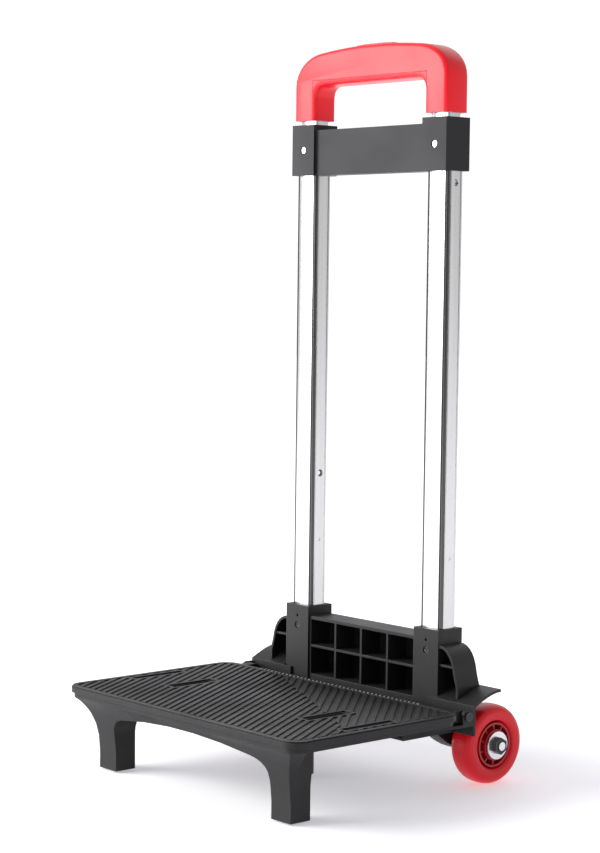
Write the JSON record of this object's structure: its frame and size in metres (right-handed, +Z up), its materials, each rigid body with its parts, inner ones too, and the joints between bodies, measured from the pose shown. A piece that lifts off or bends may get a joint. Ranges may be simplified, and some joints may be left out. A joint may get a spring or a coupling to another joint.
{
  "type": "hand truck",
  "caption": "Folding hand truck: a hinged load deck on front legs, a moulded base on skate wheels, twin tubes and a sliding U-shaped handle with a release button.",
  "frame": {"origin": "on the floor under the middle of the bounding box, with the deck down and the handle in", "axes": "+X to the right as seen from in front of the deck, +Y to the rear where the wheels and tubes are, +Z up the tubes"},
  "size_m": [0.312, 0.2868, 0.6471],
  "materials": {
    "black_plastic": "fine moulded texture",
    "grey_plastic": "satin moulded",
    "red_plastic": "soft gloss",
    "red_tyre": "satin polyurethane",
    "red_hub": "moulded",
    "aluminium": "bright extruded",
    "zinc": "bright zinc plate",
    "steel": "ground",
    "foot_rubber": "matt"
  },
  "bodies": {
    "base": {"base": "black_plastic", "upright_frame": "black_plastic", "cross_bar": "grey_plastic", "hinge_pin_right": "steel", "hinge_pin_left": "steel", "outer_tube_right": "aluminium", "outer_tube_left": "aluminium", "socket_screw_right": "zinc", "socket_screw_left": "zinc", "guide_bush_right": "grey_plastic", "guide_bush_left": "grey_plastic", "cross_bar_screw_right": "zinc", "cross_bar_screw_left": "zinc", "stepped_spacer_right": "zinc", "stepped_spacer_left": "zinc", "bearing_core_inner_right": "steel", "bearing_core_inner_left": "steel", "bearing_core_outer_right": "steel", "bearing_core_outer_left": "steel", "bearing_spacer_right": "steel", "bearing_spacer_left": "steel", "wheel_washer_right": "zinc", "wheel_washer_left": "zinc", "axle_bolt_right": "zinc", "axle_bolt_left": "zinc", "axle_nut_right": "zinc", "axle_nut_left": "zinc"},
    "deck": {"deck": "black_plastic", "foot_plug_right": "foot_rubber", "foot_plug_left": "foot_rubber"},
    "handle": {"inner_tube_right": "aluminium", "inner_tube_left": "aluminium", "grip_cover": "red_plastic", "grip_liner": "red_plastic", "lock_block_right": "grey_plastic", "lock_block_left": "grey_plastic", "pin_spring_right": "steel", "pin_spring_left": "steel", "button_spring": "steel"},
    "button": {"push_button": "red_plastic", "button_yoke": "grey_plastic", "push_rod_right": "steel", "push_rod_left": "steel"},
    "catch_inner_right": {"lock_pin_inner_right": "zinc"},
    "catch_outer_right": {"lock_pin_outer_right": "zinc"},
    "catch_inner_left": {"lock_pin_inner_left": "zinc"},
    "catch_outer_left": {"lock_pin_outer_left": "zinc"},
    "wheel_right": {"tyre_right": "red_tyre", "wheel_hub_right": "red_hub", "bearing_race_inner_right": "steel", "bearing_race_outer_right": "steel"},
    "wheel_left": {"tyre_left": "red_tyre", "wheel_hub_left": "red_hub", "bearing_race_inner_left": "steel", "bearing_race_outer_left": "steel"}
  },
  "joints": [
    {"name": "deck_fold", "type": "hinge", "parent": "base", "child": "deck", "pos_m": [0, 0.0608, 0.0678], "axis": [-1, 0, 0], "range_deg": [0, 90]},
    {"name": "handle_slide", "type": "slide", "parent": "base", "child": "handle", "axis": [0, 0, 1], "range_m": [0, 0.264]},
    {"name": "button_press", "type": "slide", "parent": "handle", "child": "button", "axis": [0, 0, -1], "range_m": [0, 0.004], "stiffness_N_per_m": 800, "springref_m": -0.003, "deforming": ["button_spring"]},
    {"name": "catch_inner_right_slide", "type": "slide", "parent": "handle", "child": "catch_inner_right", "axis": [1, 0, 0], "range_m": [0, 0.002]},
    {"name": "catch_outer_right_slide", "type": "slide", "parent": "handle", "child": "catch_outer_right", "axis": [-1, 0, 0], "range_m": [0, 0.002]},
    {"name": "catch_inner_left_slide", "type": "slide", "parent": "handle", "child": "catch_inner_left", "axis": [-1, 0, 0], "range_m": [0, 0.002]},
    {"name": "catch_outer_left_slide", "type": "slide", "parent": "handle", "child": "catch_outer_left", "axis": [1, 0, 0], "range_m": [0, 0.002]},
    {"name": "wheel_right_spin", "type": "hinge", "parent": "base", "child": "wheel_right", "pos_m": [0.123, 0.1084, 0.035], "axis": [1, 0, 0], "continuous": true},
    {"name": "wheel_left_spin", "type": "hinge", "parent": "base", "child": "wheel_left", "pos_m": [-0.123, 0.1084, 0.035], "axis": [1, 0, 0], "continuous": true}
  ],
  "couplings": [
    {"joint": "catch_inner_right_slide", "follows": "button_press", "ratio": 0.5},
    {"joint": "catch_outer_right_slide", "follows": "button_press", "ratio": 0.5},
    {"joint": "catch_inner_left_slide", "follows": "button_press", "ratio": 0.5},
    {"joint": "catch_outer_left_slide", "follows": "button_press", "ratio": 0.5}
  ]
}
